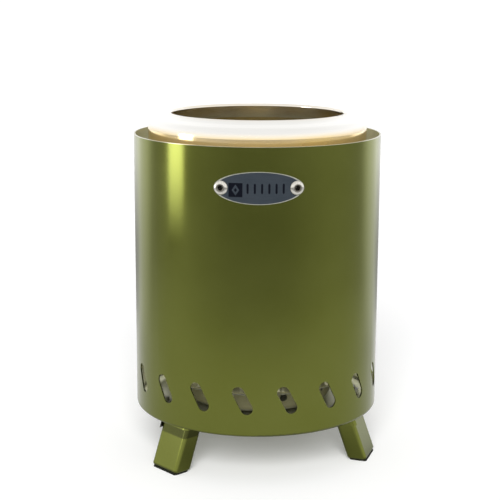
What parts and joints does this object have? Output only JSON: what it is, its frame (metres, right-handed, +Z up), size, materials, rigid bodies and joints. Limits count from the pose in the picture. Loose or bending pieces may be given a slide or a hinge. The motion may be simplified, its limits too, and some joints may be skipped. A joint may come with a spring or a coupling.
{
  "type": "tabletop fire pit stove",
  "caption": "Small double-walled cylindrical fire stove with slanted air slots, a lift-off domed flame ring, a nameplate and splayed legs.",
  "frame": {"origin": "on the stove's upright axis, in the plane of the floor under its feet", "axes": "+Z up along the stove's axis, -Y out of the middle of the nameplate, +X to the right as the nameplate is faced"},
  "size_m": [0.13, 0.131, 0.1835],
  "materials": {
    "green_paint": "satin metallic",
    "polished_stainless": "mirror polished",
    "stainless": "brushed",
    "plate_enamel": "matt enamel",
    "plain_steel": "zinc plated",
    "rubber": "matt"
  },
  "bodies": {
    "body": {"outer_shell": "green_paint", "base_plate": "green_paint", "firebox": "stainless", "bridge_ring": "stainless", "nameplate": "plate_enamel", "nameplate_rivets": "polished_stainless", "rivet_mandrels": "plain_steel", "leg_front_left": "green_paint", "leg_socket_front_left": "green_paint", "foot_pad_front_left": "rubber", "leg_bolts_front_left": "plain_steel", "leg_nuts_front_left": "plain_steel", "leg_lock_screw_front_left": "plain_steel", "leg_front_right": "green_paint", "leg_socket_front_right": "green_paint", "foot_pad_front_right": "rubber", "leg_bolts_front_right": "plain_steel", "leg_nuts_front_right": "plain_steel", "leg_lock_screw_front_right": "plain_steel", "leg_rear": "green_paint", "leg_socket_rear": "green_paint", "foot_pad_rear": "rubber", "leg_bolts_rear": "plain_steel", "leg_nuts_rear": "plain_steel", "leg_lock_screw_rear": "plain_steel"},
    "flame_ring": {"flame_ring": "polished_stainless"},
    "ash_pan": {"ash_pan": "stainless"},
    "fuel_grate": {"fuel_grate": "stainless"}
  },
  "joints": [
    {"name": "ring_lift", "type": "slide", "parent": "body", "child": "flame_ring", "axis": [0, 0, 1], "range_m": [0, 0.06]},
    {"name": "pan_lift", "type": "slide", "parent": "body", "child": "ash_pan", "axis": [0, 0, 1], "range_m": [0, 0.16]},
    {"name": "grate_lift", "type": "slide", "parent": "ash_pan", "child": "fuel_grate", "axis": [0, 0, 1], "range_m": [0, 0.15]}
  ]
}
